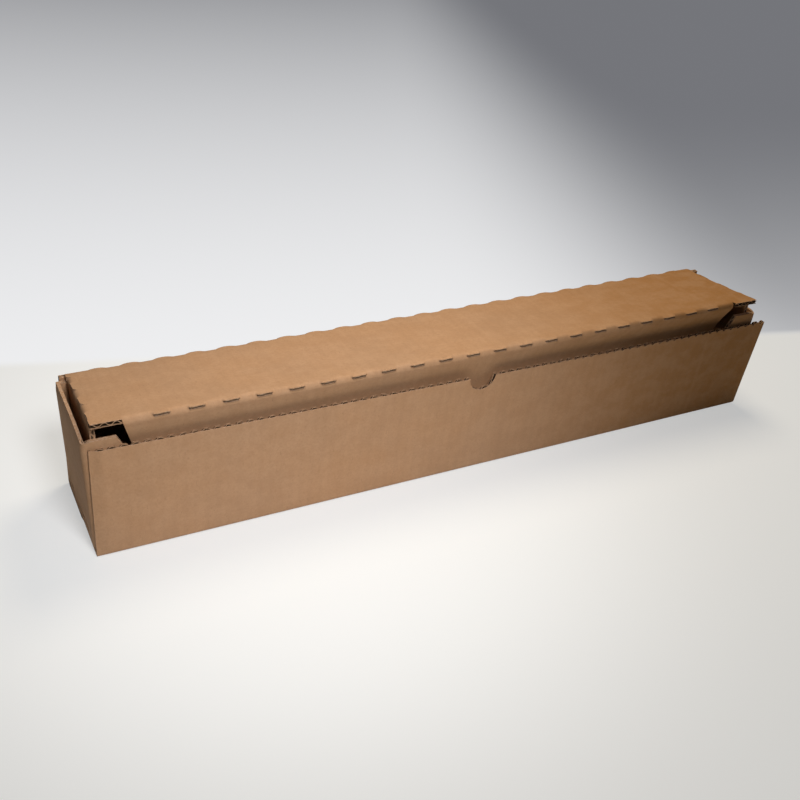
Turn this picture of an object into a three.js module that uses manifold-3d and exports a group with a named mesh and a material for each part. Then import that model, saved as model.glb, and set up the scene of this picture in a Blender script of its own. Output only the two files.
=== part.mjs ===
// Long, narrow shipping box of brown corrugated board, die cut and folded from one sheet.
// The tray stands on the floor; the lid is hinged at the back and stands a little open.
// Units are millimetres, +Z up, +X along the box, the front wall faces -Y.
import * as THREE from 'three';
import { mergeVertices } from 'three/addons/utils/BufferGeometryUtils.js';
import Module from 'manifold-3d';

const wasm = await Module();
wasm.setup();

// The board and its folds
const BOARD = 3;                    // thickness of the single-wall board
const HALF = BOARD / 2;
const FOLD_RADIUS = 2;              // radius of the board's middle plane in a crease
const FOLD_STEPS = 5;               // flat facets in one crease
const FIT = 0.4;                    // gap between sheets that lie on each other
const FLUTE_PITCH = 20.2 / 3;       // one wave of the fluting
const LINER = 0.5;                  // liner left standing beside a flute hollow
const FLUTE_DEPTH = 1.6;            // how deep a hollow is opened in a cut edge

// Tray
const END_SPAN = 494;               // over the outer faces of the two end walls
const DEPTH = 74.5;                 // over the outer faces of the front and back walls
const END_HEIGHT = 82.5;            // end walls and front corner tabs
const FRONT_HEIGHT = 77;
const FRONT_LEFT = 0.5;             // front wall's left cut edge, from the left end wall's foot
const FRONT_LENGTH = 497.5;         // front wall along its foot
const FRONT_FLARE = 3.5;            // its right cut edge runs out by this towards the top
const RACK = 0.04;                  // lean of both end walls to the left, per mm of height
const TAB_FOOT = 4;                 // corner tabs start above the base crease
const TAB_TOP_LENGTH = 20.5;        // length of a corner tab at its top
const TAB_LENGTH = 31;              // and below its slanted end
const TAB_SLANT_DROP = 22;          // height over which the end slants
const BACK_TAB_TOP = 80.5;          // back corner tabs stop under the lid
const NOTCH_RADIUS = 9.7;           // thumb notch in the front wall
const NOTCH_X = 252.8;
const WALL_FOOT = 1;                // the walls' ends start this far above the floor

// Lid
const HINGE_Z = 83.5;
const HINGE_GAP = 0.35;             // between the hinge crease's round and the lid's edge
const LID_TILT = THREE.MathUtils.degToRad(9);
const LID_LEFT = 1;
const LID_LENGTH = 484.5;
const CREASE_LEAD = 0.4;            // the front crease stands this far over the front wall
const LID_REACH = DEPTH - HALF - BOARD + CREASE_LEAD; // hinge axis to the middle of the front crease
const TUCK_INSET = 19;              // lid corner to the start of the tuck flap
const TUCK_DROP = 36;               // tuck flap measured square to the lid
const TUCK_RECESS = 11.8;           // how far its lower edge lies behind the crease
const TUCK_TAPER = 0.306;           // slant of the flap's two ends
const EAR_DROP = 32;
const EAR_BACK = 8;                 // hinge axis to the ears' back edge
const EAR_ROOM = 0.8;               // between an ear and the corner tab in front of it
const EAR_FRONT = DEPTH - HALF - 2 * BOARD - FIT - EAR_ROOM; // forward limit, from the hinge axis
const EAR_NOSE = 20;                // how far the ears' slanted front corner cuts back
const EAR_SLIT_START = 20;          // first slit of an ear's crease, from the hinge axis
const EAR_SLIT_COUNT = 3;

// Cut-crease: the board is cut right through for one half of every pitch
const SLIT_PITCH = 20.2;
const SLIT_LENGTH = SLIT_PITCH / 2;
const SLIT_START = 42.1;            // first slit centre in the front crease
const SLIT_COUNT = 21;
const SLIT_MOUTH = 2.6;             // width at the outer face, where the fold spreads it
const SLIT_ROOT = 0.5;

const SEGMENTS_ROUND = 12;
const OVER = 1;                     // cutting shapes reach this far past what they cut

// Turns a three.js geometry into a solid for joining and cutting
function toSolid(geometry) {
  const bare = geometry.clone();
  bare.deleteAttribute('normal');
  bare.deleteAttribute('uv');
  const merged = mergeVertices(bare, 1e-4);
  return new wasm.Manifold(new wasm.Mesh({
    numProp: 3,
    vertProperties: new Float32Array(merged.attributes.position.array),
    triVerts: new Uint32Array(merged.index.array),
  }));
}

function toMesh(name, solid, colour) {
  const data = solid.getMesh();
  const geometry = new THREE.BufferGeometry();
  geometry.setAttribute('position', new THREE.BufferAttribute(new Float32Array(data.vertProperties), 3));
  geometry.setIndex(new THREE.BufferAttribute(new Uint32Array(data.triVerts), 1));
  geometry.computeVertexNormals();
  const material = new THREE.MeshStandardMaterial({ color: colour, roughness: 0.9 });
  const mesh = new THREE.Mesh(geometry, material);
  mesh.name = name;
  return mesh;
}

// Outline of a board section that follows corner points, with a round at every inner corner
function sheetOutline(corners, radius = FOLD_RADIUS) {
  const middle = [];
  const at = corners.map(([u, v]) => new THREE.Vector2(u, v));
  const side = (from, to) => to.clone().sub(from).normalize();
  const square = (d) => new THREE.Vector2(-d.y, d.x);
  middle.push([at[0], square(side(at[0], at[1]))]);
  for (let i = 1; i < at.length - 1; i += 1) {
    const before = side(at[i - 1], at[i]);
    const after = side(at[i], at[i + 1]);
    const turn = Math.atan2(before.cross(after), before.dot(after));
    const reach = radius * Math.tan(Math.abs(turn) / 2);
    const start = at[i].clone().addScaledVector(before, -reach);
    const centre = start.clone().addScaledVector(square(before), Math.sign(turn) * radius);
    for (let k = 0; k <= FOLD_STEPS; k += 1) {
      const normal = square(before).rotateAround(new THREE.Vector2(), turn * k / FOLD_STEPS);
      middle.push([centre.clone().addScaledVector(normal, -Math.sign(turn) * radius), normal]);
    }
  }
  const last = at.length - 1;
  middle.push([at[last], square(side(at[last - 1], at[last]))]);
  const right = middle.map(([p, n]) => p.clone().addScaledVector(n, -HALF));
  const left = middle.map(([p, n]) => p.clone().addScaledVector(n, HALF));
  return [...right, ...left.reverse()];
}

function extrude(points, length) {
  const shape = new THREE.Shape(points.map((p) => (Array.isArray(p) ? new THREE.Vector2(...p) : p)));
  return new THREE.ExtrudeGeometry(shape, { depth: length, bevelEnabled: false, steps: 1 });
}

// Section drawn in Y and Z, running along X
function alongX(points, from, to) {
  const turn = new THREE.Matrix4().makeBasis(
    new THREE.Vector3(0, 1, 0), new THREE.Vector3(0, 0, 1), new THREE.Vector3(1, 0, 0));
  return extrude(points, to - from).applyMatrix4(turn).translate(from, 0, 0);
}

// Section drawn in X and Z, running along Y
function alongY(points, from, to) {
  const turn = new THREE.Matrix4().makeBasis(
    new THREE.Vector3(1, 0, 0), new THREE.Vector3(0, 0, 1), new THREE.Vector3(0, -1, 0));
  return extrude(points, to - from).applyMatrix4(turn).translate(0, to, 0);
}

// Plan drawn in X and Y, rising along Z
function alongZ(points, from, to) {
  return extrude(points, to - from).translate(0, 0, from);
}

function block(x0, x1, y0, y1, z0, z1) {
  return new THREE.BoxGeometry(x1 - x0, y1 - y0, z1 - z0)
    .translate((x0 + x1) / 2, (y0 + y1) / 2, (z0 + z1) / 2);
}

// The two end walls lean to the left together
function racked(geometry) {
  return geometry.applyMatrix4(new THREE.Matrix4().makeShear(0, 0, 0, 0, -RACK, 0));
}

function joinAll(solids) {
  return wasm.Manifold.union(solids);
}

// Row of hollows that the fluting leaves in a cut edge. The edge runs along X at height z,
// its board lies between y0 and y1; every second hollow opens on the other side of the wave.
function fluteHollows(x0, x1, y0, y1, z) {
  const hollows = [];
  const count = Math.floor(2 * (x1 - x0) / FLUTE_PITCH) - 1;
  for (let i = 0; i < count; i += 1) {
    const x = x0 + (i + 1) * FLUTE_PITCH / 2;
    const wide = FLUTE_PITCH * 0.36;
    const outer = y0 + LINER;
    const inner = y1 - LINER;
    const triangle = i % 2 === 0
      ? [[x - wide, outer], [x + wide, outer], [x, inner - LINER / 2]]
      : [[x - wide, inner], [x, outer + LINER / 2], [x + wide, inner]];
    hollows.push(toSolid(alongZ(triangle, z - FLUTE_DEPTH, z + 1)));
  }
  return joinAll(hollows);
}

// Tray: base, front wall, back wall, end walls and their corner tabs
function makeTray() {
  const wallY = DEPTH / 2 - HALF;
  const tabY = wallY - BOARD - FIT;
  const inside = BOARD + FIT;
  const spine = toSolid(alongX(sheetOutline([
    [-wallY, FRONT_HEIGHT], [-wallY, HALF], [wallY, HALF], [wallY, HINGE_Z],
  ]), inside, END_SPAN - inside));

  const frontRight = FRONT_LEFT + FRONT_LENGTH;
  const rightEnd = [
    [END_SPAN - inside - OVER, WALL_FOOT], [frontRight, WALL_FOOT],
    [frontRight + FRONT_FLARE, FRONT_HEIGHT], [END_SPAN - inside - OVER, FRONT_HEIGHT],
  ];
  const ends = [
    block(FRONT_LEFT, inside + OVER, -wallY - HALF, -wallY + HALF, WALL_FOOT, FRONT_HEIGHT),
    alongY(rightEnd, -wallY - HALF, -wallY + HALF),
    block(0, inside + OVER, wallY - HALF, wallY + HALF, WALL_FOOT, HINGE_Z),
    block(END_SPAN - inside - OVER, END_SPAN, wallY - HALF, wallY + HALF, WALL_FOOT, HINGE_Z),
  ].map(toSolid);
  const crease = toSolid(new THREE.CylinderGeometry(HALF, HALF, END_SPAN, SEGMENTS_ROUND)
    .rotateZ(Math.PI / 2).translate(END_SPAN / 2, wallY, HINGE_Z));

  const ringEdge = tabY - FOLD_RADIUS;
  const endCreases = toSolid(racked(alongY(sheetOutline([
    [HALF, TAB_FOOT + 6], [HALF, HALF], [END_SPAN - HALF, HALF], [END_SPAN - HALF, TAB_FOOT + 6],
  ]), -ringEdge, ringEdge)));
  const plan = (flip) => {
    const x = (v) => (flip ? END_SPAN - v : v);
    const path = [[x(TAB_LENGTH), -tabY], [x(HALF), -tabY], [x(HALF), tabY], [x(TAB_LENGTH), tabY]];
    return toSolid(racked(alongZ(sheetOutline(flip ? path.reverse() : path), TAB_FOOT, END_HEIGHT)));
  };
  const slant = (flip) => {
    const x = (v) => (flip ? END_SPAN - v : v);
    const line = [
      [x(TAB_TOP_LENGTH), END_HEIGHT + OVER],
      [x(TAB_TOP_LENGTH), END_HEIGHT],
      [x(TAB_LENGTH), END_HEIGHT - TAB_SLANT_DROP],
      [x(TAB_LENGTH + OVER), END_HEIGHT + OVER],
    ];
    return toSolid(racked(alongY(flip ? line : line.reverse(), -DEPTH / 2, DEPTH / 2)));
  };
  const backTabCut = toSolid(block(
    LID_LEFT - FIT, LID_LEFT + LID_LENGTH + FIT, ringEdge - HALF, DEPTH / 2 - BOARD - FIT / 2,
    BACK_TAB_TOP, END_HEIGHT + OVER));
  const walls = joinAll([plan(false), plan(true)])
    .subtract(joinAll([slant(false), slant(true), backTabCut]));

  const notch = toSolid(new THREE.CylinderGeometry(NOTCH_RADIUS, NOTCH_RADIUS, 3 * BOARD, 2 * SEGMENTS_ROUND)
    .translate(NOTCH_X, -wallY, FRONT_HEIGHT));
  const slits = [];
  for (let i = 0; i <= SLIT_COUNT; i += 1) {
    const x = SLIT_START + (i - 0.5) * SLIT_PITCH;
    slits.push(toSolid(block(
      x - SLIT_LENGTH / 2, x + SLIT_LENGTH / 2, wallY - BOARD, wallY + BOARD, HINGE_Z - 0.2, HINGE_Z + BOARD)));
  }
  return joinAll([spine, ...ends, crease, endCreases, walls])
    .subtract(fluteHollows(FRONT_LEFT, NOTCH_X - NOTCH_RADIUS, -wallY - HALF, -wallY + HALF, FRONT_HEIGHT))
    .subtract(fluteHollows(
      NOTCH_X + NOTCH_RADIUS, frontRight + FRONT_FLARE, -wallY - HALF, -wallY + HALF, FRONT_HEIGHT))
    .subtract(notch)
    .subtract(joinAll(slits));
}

// Lid: top panel, tuck flap and two ears. Drawn with the hinge axis on X, the panel lying
// level towards -Y, then tilted and lifted onto the tray.
function makeLid() {
  const right = LID_LEFT + LID_LENGTH;
  const backEdge = HALF + HINGE_GAP;
  const flat = [[-backEdge, -HALF], [-backEdge, HALF], [-LID_REACH - HALF, HALF], [-LID_REACH - HALF, -HALF]];
  const tuckEnd = [-LID_REACH + TUCK_RECESS, -TUCK_DROP];
  const folded = sheetOutline([tuckEnd, [-LID_REACH, 0], [-backEdge, 0]]);
  const inset = LID_LEFT + TUCK_INSET;
  const sweep = TUCK_DROP * TUCK_TAPER;
  const tuckMask = toSolid(alongY([
    [inset + sweep, -TUCK_DROP - BOARD], [right - TUCK_INSET - sweep, -TUCK_DROP - BOARD],
    [right - TUCK_INSET, -HALF], [right - TUCK_INSET, BOARD],
    [inset, BOARD], [inset, -HALF],
  ], -LID_REACH - 2 * BOARD, -LID_REACH + TUCK_RECESS + 2 * BOARD));
  const tuck = toSolid(alongX(folded, LID_LEFT, right)).intersect(tuckMask);
  const corner = LID_REACH - FOLD_RADIUS;
  const panel = toSolid(alongX(
    [[-backEdge, -HALF], [-corner, -HALF], [-corner, HALF], [-backEdge, HALF]], LID_LEFT, right));
  const frontLeft = toSolid(alongX(flat, LID_LEFT, inset - 1));
  const frontRight = toSolid(alongX(flat, right - TUCK_INSET + 1, right));

  const earMask = toSolid(alongX(earOutline(), LID_LEFT - OVER, right + 2 * BOARD));
  const bend = (flip) => {
    const x = (v) => (flip ? right - v : LID_LEFT + v);
    const foot = (v) => x(v) + RACK * EAR_DROP;
    const path = [[foot(HALF), -EAR_DROP - OVER], [x(HALF), 0], [x(4 * BOARD), 0]];
    const outline = sheetOutline(flip ? path.reverse() : path);
    return toSolid(alongY(outline, -EAR_FRONT, -EAR_BACK)).intersect(earMask);
  };
  const earRoom = (flip) => {
    const x0 = flip ? right - 2 * BOARD : LID_LEFT - OVER;
    return toSolid(block(x0, x0 + 2 * BOARD + OVER, -EAR_FRONT, -EAR_BACK, -BOARD, BOARD));
  };
  const body = joinAll([panel, frontLeft, frontRight])
    .subtract(joinAll([earRoom(false), earRoom(true)]));
  const solid = joinAll([body, tuck, bend(false), bend(true)]);

  return solid.subtract(joinAll([...frontSlits(), ...backSlits(), ...earSlits(right), ...cornerHollows(right)]));
}

// Side view of an ear: its front edge follows an arc about the hinge, so that it clears the
// corner tab while the lid swings, and a long slant cuts its lower front corner
function earOutline() {
  const arc = [6, 12, 18].map((degrees) => {
    const angle = THREE.MathUtils.degToRad(degrees);
    return [-EAR_FRONT * Math.cos(angle), -EAR_FRONT * Math.sin(angle)];
  });
  return [
    [-EAR_BACK, BOARD], [-EAR_BACK, -HALF], [-EAR_BACK - 2 * BOARD, -EAR_DROP + BOARD],
    [-EAR_BACK - 3 * BOARD, -EAR_DROP], [-EAR_FRONT + EAR_NOSE, -EAR_DROP],
    ...arc.reverse(), [-EAR_FRONT, BOARD],
  ];
}

// Slits in the front crease, spread to a V by the fold
function frontSlits() {
  const inward = new THREE.Vector2(1, -0.8).normalize();
  const across = new THREE.Vector2(-inward.y, inward.x);
  const apex = new THREE.Vector2(-LID_REACH, 0);
  const corner = (along, side) => apex.clone().addScaledVector(inward, along).addScaledVector(across, side);
  const wedge = [
    corner(-2 * BOARD, -SLIT_MOUTH), corner(BOARD, -SLIT_ROOT / 2),
    corner(BOARD, SLIT_ROOT / 2), corner(-2 * BOARD, SLIT_MOUTH),
  ];
  const slits = [];
  for (let i = 0; i < SLIT_COUNT; i += 1) {
    const x = SLIT_START + i * SLIT_PITCH;
    slits.push(toSolid(alongX(wedge, x - SLIT_LENGTH / 2, x + SLIT_LENGTH / 2)));
  }
  return slits;
}

// The same slits in the back crease leave the lid's edge scalloped
function backSlits() {
  const slits = [];
  for (let i = 0; i <= SLIT_COUNT; i += 1) {
    const x = SLIT_START + (i - 0.5) * SLIT_PITCH;
    const half = SLIT_LENGTH / 2;
    const scallop = [[x - half, 0], [x + half, 0], [x + half * 0.7, -3], [x - half * 0.7, -3]];
    slits.push(toSolid(alongZ(scallop.reverse(), -BOARD, BOARD)));
  }
  return slits;
}

function earSlits(right) {
  const slits = [];
  const wide = SLIT_MOUTH / 2;
  for (let i = 0; i < EAR_SLIT_COUNT; i += 1) {
    const y = -EAR_SLIT_START - i * SLIT_PITCH;
    for (const x of [LID_LEFT, right]) {
      slits.push(toSolid(block(
        x - wide, x + wide, y - SLIT_LENGTH / 2, y + SLIT_LENGTH / 2, -SLIT_ROOT, BOARD)));
    }
  }
  return slits;
}

// Flute hollows in the lid's two free front corners
function cornerHollows(right) {
  const hollows = [];
  const wide = FLUTE_PITCH * 0.36;
  const front = -LID_REACH - HALF;
  for (const start of [LID_LEFT + 4, right - 4 - 2 * FLUTE_PITCH]) {
    for (let i = 0; i < 5; i += 1) {
      const x = start + i * FLUTE_PITCH / 2;
      const low = -HALF + LINER;
      const high = HALF - LINER;
      const triangle = i % 2 === 0
        ? [[x - wide, low], [x + wide, low], [x, high - LINER / 2]]
        : [[x - wide, high], [x, low + LINER / 2], [x + wide, high]];
      hollows.push(toSolid(alongY(triangle, front - 1, front + FLUTE_DEPTH)));
    }
  }
  return hollows;
}

const BROWN = 0xb48c62;
const tray = toMesh('tray', makeTray(), BROWN);
const lid = toMesh('lid', makeLid(), BROWN);
const hingeY = DEPTH / 2 - HALF;
lid.geometry.rotateX(-LID_TILT).translate(0, hingeY, HINGE_Z);

// The origin is the middle of the outer box, on the floor
const bounds = new THREE.Box3().setFromObject(tray).union(new THREE.Box3().setFromObject(lid));
const centre = bounds.getCenter(new THREE.Vector3());
for (const piece of [tray, lid]) {
  piece.geometry.translate(-centre.x, -centre.y, -bounds.min.z);
}

const box = new THREE.Group();
box.name = 'shipping_box';
box.add(tray, lid);

export default box;
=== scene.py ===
import math

import bpy
import numpy as np
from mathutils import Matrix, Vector


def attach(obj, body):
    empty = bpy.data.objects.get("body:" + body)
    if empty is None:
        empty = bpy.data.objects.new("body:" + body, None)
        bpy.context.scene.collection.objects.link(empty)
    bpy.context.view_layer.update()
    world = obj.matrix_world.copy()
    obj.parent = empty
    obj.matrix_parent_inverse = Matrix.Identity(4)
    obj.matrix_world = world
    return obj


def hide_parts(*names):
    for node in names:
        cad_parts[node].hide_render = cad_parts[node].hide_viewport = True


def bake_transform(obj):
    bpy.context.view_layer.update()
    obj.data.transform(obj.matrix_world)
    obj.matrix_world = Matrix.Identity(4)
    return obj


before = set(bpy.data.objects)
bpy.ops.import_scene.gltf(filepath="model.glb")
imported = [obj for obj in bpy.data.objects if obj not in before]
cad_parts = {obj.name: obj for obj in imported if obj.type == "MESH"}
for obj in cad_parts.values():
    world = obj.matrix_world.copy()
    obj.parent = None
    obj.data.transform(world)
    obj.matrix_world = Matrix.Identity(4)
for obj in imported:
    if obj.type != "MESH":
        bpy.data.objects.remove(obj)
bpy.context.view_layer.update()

MM = 0.001

# Board, in millimetres, as in the CAD
BOARD = 3.0
HALF = BOARD / 2
LINER = 0.42
MEDIUM = 0.34
# painted shade: an open edge's hollows are painted dark from HOLLOW_START below its top, down to where
# its walls end
HOLLOW_START = 0.8
HOLLOW_DEPTH = 6.0
SLIT_PITCH = 20.2
SLIT_LENGTH = SLIT_PITCH / 2
SLIT_START = 42.1
SLIT_COUNT = 21
FLUTE_PITCH = SLIT_PITCH / 3
FOLD_RADIUS = 2.0
FIT = 0.4

# Tray; x runs from the foot of the left end wall
CENTRE_X = 249.1
END_SPAN = 494.0
DEPTH = 74.5
END_HEIGHT = 82.5
FRONT_HEIGHT = 77.0
FRONT_LEFT = 0.5
FRONT_RIGHT = 498.0
FRONT_FLARE = 3.45
RACK = 0.04
RACK_RIGHT = 0.005
TAB_FOOT = 4.0
TAB_TOP_LENGTH = 20.5
TAB_LENGTH = 31.0
TAB_SLANT_DROP = 22.0
BACK_TAB_TOP = 80.5
NOTCH_X = 252.8
NOTCH_RADIUS = 9.7
# the top of the front wall is open board from this height up
COMB_FOOT = 62.0
# how deep its liners are torn between the flute tips; the outer one by its place along x
INNER_TEETH = 1.9
OUTER_TEETH = ((200, 420), (0.15, 1.2))
END_CRUSH = 0.55
# the back right corner is worn down by this much, behind the lid
BACK_CORNER = 5.2
# foot of the crease between an end wall and the base: how far it runs into the base
FOOT_RUN = 26.0

# How this box has warped: top edge of the front wall and hinge line, left end to right end
TOP_LEFT = 78.1
TOP_RIGHT = 74.8
LEFT_LEAN = 0.8
BOW = 0.35
LEFT_PINCH = 0.5
HINGE_LIFT = (-0.7, 0.8)
LID_TILT = (math.radians(9.3), math.radians(7.5))
LID_SAG = 0.3

# How far each of the tray's warps reaches from the wall or end that has it
SWAY_REACH = 30
LEAN_REACH = 300
PINCH_REACH = 7
FLARE_REACH = 28

# The lid's two ends run askew: how far in they stand at the hinge and at the front
LEFT_INSET = (2.4, 1.5)
RIGHT_INSET = (3.5, -1.4)

# Lid; a is the way forward from the hinge axis, n the height over the lid's middle plane
HINGE_Y = DEPTH / 2 - HALF
HINGE_Z = 83.5
LID_LEFT = 1.0
LID_RIGHT = 485.5
LID_BACK = 1.0
LID_REACH = 70.4
TUCK_INSET = 19.0
TUCK_DROP = 36.0
TUCK_RECESS = 11.8
TUCK_TAPER = 0.306
# left end to right end: how far the flap bows in, and how wide the slits stand open
TUCK_BOW = (1.7, 3.4)
SLIT_SPREAD = (0.9, 1.8)
EAR_DROP = 32.0
EAR_BACK = 8.0
EAR_BACK_SLANT = ((0, HALF, 29, EAR_DROP), (0, 0, 6, 9))
EAR_ROUND = math.radians(18)
EAR_FRONT = 65.8
EAR_NOSE = 20.0
EAR_SLIT_START = 20.0
EAR_SLIT_COUNT = 3
EAR_LAP = 12.0
EAR_DRAW = (2.8, 1.3)
EAR_FOLD = 1.3
EAR_SUNK = 0.9

# Crease straps: how far they run down the wall and forward over the lid, and past a slit's end
STRAP_DOWN = 4.5
STRAP_OVER = 5.5
STRAP_SPARE = 1.6


def smooth(t):
    t = np.clip(t, 0.0, 1.0)
    return t * t * (3 - 2 * t)


class Ripple:
    """Smooth seeded noise in one or two directions, about -1 to 1."""

    def __init__(self, waves, shortest, longest, seed):
        r = np.random.default_rng(seed)
        length = np.exp(r.uniform(np.log(shortest), np.log(longest), waves))
        turn = r.uniform(0, math.tau, waves)
        self.kx = math.tau / length * np.cos(turn)
        self.ky = math.tau / length * np.sin(turn)
        self.phase = r.uniform(0, math.tau, waves)
        self.weight = (length / longest) ** 0.5
        self.weight /= self.weight.sum() ** 0.5 * 1.3

    def __call__(self, x, y=0.0):
        x, y = np.broadcast_arrays(np.asarray(x, float), np.asarray(y, float))
        angle = x[..., None] * self.kx + y[..., None] * self.ky + self.phase
        return (np.sin(angle) * self.weight).sum(-1)


panel_sway = Ripple(14, 60, 260, 3)
edge_wear = Ripple(18, 2.5, 30, 5)
fine_wear = Ripple(14, 1.2, 6, 6)


def to_row(p):
    """Working millimetres to the row frame in metres."""
    p = np.asarray(p, float)
    return (p - np.array([CENTRE_X, 0, 0])) * MM


def settle_tray(p):
    """How the real tray stands: its front wall leans in at the left and runs out at the right."""
    p = np.array(p, float)
    x, y, z = p[..., 0], p[..., 1], p[..., 2]
    near_front = 1 - smooth((y + DEPTH / 2 - 2 * BOARD) / SWAY_REACH)
    rise = np.clip(z / FRONT_HEIGHT, 0, 1.1)
    lean = LEFT_LEAN * (1 - smooth(x / LEAN_REACH)) * rise ** 1.4
    sway = 0.5 + 0.5 * np.clip(panel_sway(x, z), -1, 1)
    bow = BOW * sway * np.sin(np.pi * np.clip(z / END_HEIGHT, 0, 1))
    inner = BOARD + FIT / 2 - DEPTH / 2
    in_wall = y < inner
    pinch = LEFT_PINCH * smooth(1 - (x - FRONT_LEFT) / PINCH_REACH) * smooth(z / 6)
    y = np.where(in_wall, inner - (inner - y) * (1 - pinch), y)
    near_right = np.clip((x - FRONT_RIGHT) / FLARE_REACH + 1, 0, 1)
    flare = FRONT_FLARE * np.clip(z / TOP_RIGHT, 0, 1) * near_right
    p[..., 0] = x + np.where(in_wall, flare, 0.0)
    p[..., 1] = y + near_front * (lean + bow)
    return p


class Skin:
    """Collects the vertices, faces and surface values of one mesh.
    flute runs across the fluting, cut is 1 on a cut edge, across goes from -1 to 1 through
    the board there, open is 1 where the edge crosses the fluting and 2 on the lip of a slit,
    and the last value is 1 in a hollow, whose shade is painted dark into the colour."""

    VALUES = ("flute", "cut", "across", "open", "deep")

    def __init__(self):
        self.points = []
        self.faces = []
        self.values = {name: [] for name in self.VALUES}
        self.count = 0

    def add(self, points, faces, **values):
        points = np.asarray(points, float).reshape(-1, 3)
        self.points.append(points)
        self.faces.extend([tuple(i + self.count for i in f) for f in faces])
        for name in self.VALUES:
            value = np.asarray(values.get(name, 0.0), float).ravel()
            self.values[name].append(np.broadcast_to(value, (len(points),)))
        self.count += len(points)

    def build(self, name, material, body, node=None, sharp=35):
        mesh = bpy.data.meshes.new(name)
        mesh.from_pydata(np.concatenate(self.points).tolist(), [], self.faces)
        for label, values in self.values.items():
            layer = mesh.attributes.new(label, "FLOAT", "POINT")
            layer.data.foreach_set("value", np.concatenate(values).astype(np.float32))
        mesh.validate()
        mesh.shade_smooth()
        mesh.set_sharp_from_angle(angle=math.radians(sharp))
        mesh.materials.append(material)
        obj = bpy.data.objects.new(name, mesh)
        bpy.context.scene.collection.objects.link(obj)
        if body:
            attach(obj, body)
        if node:
            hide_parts(node)
        return obj


def grid_faces(rows, cols, keep=None):
    faces = []
    for i in range(rows - 1):
        for j in range(cols - 1):
            if keep is None or keep[i, j]:
                k = i * cols + j
                faces.append((k, k + 1, k + cols + 1, k + cols))
    return faces


def rim(faces):
    """Edges that belong to one face only, in the face's own direction."""
    seen = {}
    for f in faces:
        for a, b in zip(f, f[1:] + f[:1]):
            if (b, a) in seen:
                del seen[(b, a)]
            else:
                seen[(a, b)] = True
    return list(seen)


def thick_sheet(skin, middle, normal, flute, keep=None, half=HALF, place=None, lip=0.0):
    """A sheet with thickness on a grid of middle points. keep marks the cells that exist,
    lip the points on the lips of a slit, whose cut edge gets a painted shadow line for the shade in
    the slit."""
    rows, cols = middle.shape[:2]
    half = np.broadcast_to(half, (rows, cols))[..., None]
    over = middle + normal * half
    under = middle - normal * half
    if place is not None:
        over, under = place(over), place(under)
    faces = grid_faces(rows, cols, keep)
    edges = rim(faces)
    flute = np.broadcast_to(flute, (rows, cols)).ravel()
    skin.add(to_row(over), faces, flute=flute)
    skin.add(to_row(under), [f[::-1] for f in faces], flute=flute)
    # the cut edge has vertices of its own, so that it keeps its own normal and colour
    used = sorted({i for e in edges for i in e})
    index = {v: k for k, v in enumerate(used)}
    flat_over = to_row(over).reshape(-1, 3)[used]
    flat_under = to_row(under).reshape(-1, 3)[used]
    n = len(used)
    sides = [(index[b], index[a], index[a] + n, index[b] + n) for a, b in edges]
    across = np.repeat([1.0, -1.0], n)
    # the painted shade of the hollows, and the painted shadow line of a lip, show only where the edge
    # crosses the fluting
    crossing = np.zeros(n)
    lip = np.broadcast_to(lip, (rows, cols)).ravel()
    for a, b in edges:
        if abs(flute[a] - flute[b]) > 0.1:
            crossing[index[a]] = 1.0 + lip[a]
            crossing[index[b]] = 1.0 + lip[b]
    skin.add(np.concatenate([flat_over, flat_under]), sides, flute=np.tile(flute[used], 2), cut=1.0,
             across=across, open=np.tile(crossing, 2))


def follow(corners, radius, step, fold_steps):
    """Samples a path of straight runs and rounds: points and unit normals to its left."""
    at = [np.array(c, float) for c in corners]

    def unit(v):
        return v / np.linalg.norm(v)

    points, normals = [], []

    def run(a, b, skip_first):
        d = unit(b - a)
        count = max(1, int(round(np.linalg.norm(b - a) / step)))
        for k in range(1 if skip_first else 0, count + 1):
            points.append(a + (b - a) * k / count)
            normals.append(np.array([-d[1], d[0]]))

    start = at[0]
    for i in range(1, len(at) - 1):
        d0, d1 = unit(at[i] - at[i - 1]), unit(at[i + 1] - at[i])
        turn = math.atan2(d0[0] * d1[1] - d0[1] * d1[0], d0 @ d1)
        reach = radius * math.tan(abs(turn) / 2)
        a = at[i] - d0 * reach
        run(start, a, bool(points))
        sign = math.copysign(1, turn)
        n0 = np.array([-d0[1], d0[0]])
        centre = a + n0 * sign * radius
        for k in range(1, fold_steps + 1):
            t = turn * k / fold_steps
            c, s = math.cos(t), math.sin(t)
            n = np.array([n0[0] * c - n0[1] * s, n0[0] * s + n0[1] * c])
            points.append(centre - n * sign * radius)
            normals.append(n)
        start = at[i] + d1 * reach
    run(start, at[-1], len(at) > 2)
    return np.array(points), np.array(normals)


# Materials

def new_material(name):
    material = bpy.data.materials.new(name)
    material.use_nodes = True
    tree = material.node_tree
    tree.nodes.clear()
    return material, tree


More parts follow.
